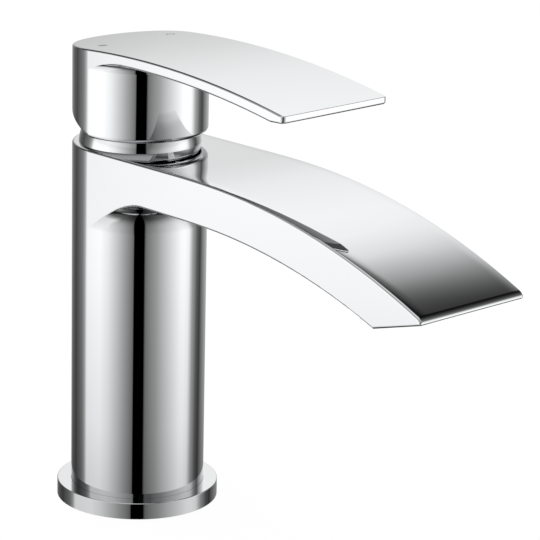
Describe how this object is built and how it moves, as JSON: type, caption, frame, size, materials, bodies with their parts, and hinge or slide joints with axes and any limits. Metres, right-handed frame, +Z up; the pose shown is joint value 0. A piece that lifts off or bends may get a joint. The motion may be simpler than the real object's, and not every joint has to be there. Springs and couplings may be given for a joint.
{
  "type": "basin mixer tap",
  "caption": "Single-lever basin mixer tap: round column on a flange, wide arched spout with a thin slot outlet, and a capped lever that tilts for flow and turns for heat",
  "frame": {"origin": "Centre of the column's foot, on the deck the tap stands on", "axes": "+X runs from the column towards the spout's tip, +Z is up along the column, +Y is the cold side"},
  "size_m": [0.1714, 0.052, 0.151],
  "materials": {
    "polished_chrome": "bright chrome plate over cast brass",
    "turned_brass": "turned brass, uncoated",
    "bright_steel": "ground stainless steel",
    "seal_rubber": "moulded black rubber",
    "cartridge_plastic": "moulded white plastic",
    "carrier_plastic": "moulded dark grey plastic",
    "grey_plastic": "moulded light grey plastic",
    "disc_ceramic": "lapped white alumina",
    "mark_enamel": "dark grey enamel inlay"
  },
  "bodies": {
    "base": {"body_casting": "polished_chrome", "base_flange": "polished_chrome", "base_gasket": "seal_rubber", "flange_seal": "seal_rubber", "cover_ring": "polished_chrome", "retaining_nut": "turned_brass", "cartridge_housing": "cartridge_plastic", "housing_seal": "seal_rubber", "cartridge_base": "cartridge_plastic", "inlet_seals": "seal_rubber", "fixed_disc": "disc_ceramic", "outlet_housing": "grey_plastic", "outlet_seal": "seal_rubber", "flow_straightener": "cartridge_plastic"},
    "turret": {"turret": "carrier_plastic", "spindle_pin": "bright_steel"},
    "lever": {"handle": "polished_chrome", "spindle": "turned_brass", "grub_screw": "bright_steel", "screw_plug": "grey_plastic", "hot_mark": "mark_enamel", "cold_mark": "mark_enamel"},
    "carriage": {"disc_carrier": "carrier_plastic", "moving_disc": "disc_ceramic"}
  },
  "joints": [
    {"name": "temperature", "type": "hinge", "parent": "base", "child": "turret", "pos_m": [0, 0, 0.1159], "axis": [0, 0, 1], "range_deg": [-45, 45]},
    {"name": "lift", "type": "hinge", "parent": "turret", "child": "lever", "pos_m": [0, 0, 0.1159], "axis": [0, -1, 0], "range_deg": [0, 20]},
    {"name": "disc_slide", "type": "slide", "parent": "turret", "child": "carriage", "axis": [1, 0, 0], "range_m": [0, 0.00495]}
  ],
  "couplings": [
    {"joint": "disc_slide", "follows": "lift", "m_per_rad": 0.014086}
  ]
}
